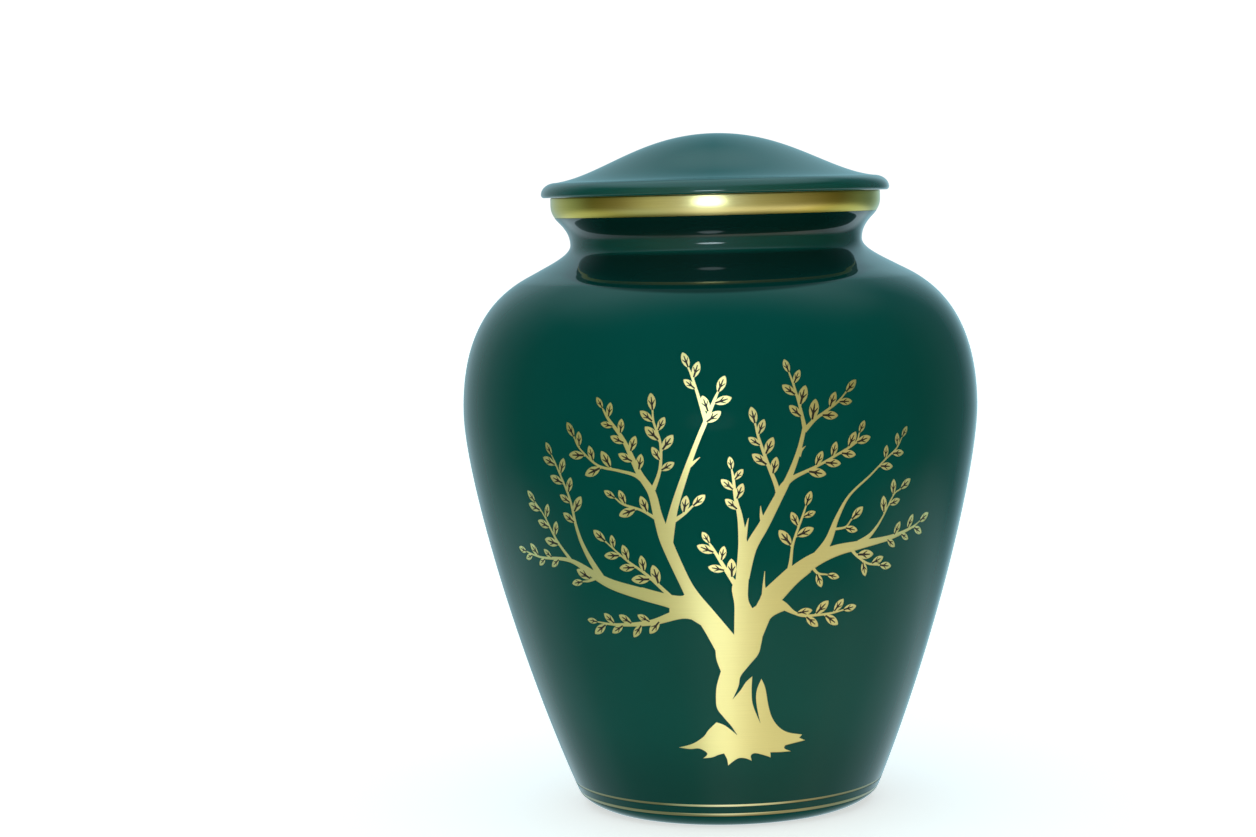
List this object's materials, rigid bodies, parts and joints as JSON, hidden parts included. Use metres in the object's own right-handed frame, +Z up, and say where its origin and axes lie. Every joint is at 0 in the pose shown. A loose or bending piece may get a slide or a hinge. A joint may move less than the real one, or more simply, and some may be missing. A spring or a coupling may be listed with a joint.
{
  "type": "cremation urn",
  "caption": "Shouldered cremation urn with a domed lid, in green enamelled brass with a brass collar band and an engraved tree.",
  "frame": {"origin": "centre of the foot, on the surface that the urn stands on", "axes": "+Z up along the urn's axis, -Y towards the side that carries the tree"},
  "size_m": [0.1836, 0.1836, 0.2396],
  "materials": {
    "green_enamel": "gloss",
    "brass": "satin"
  },
  "bodies": {
    "root": {"urn_vessel": "green_enamel", "urn_lid": "green_enamel"}
  },
  "joints": []
}
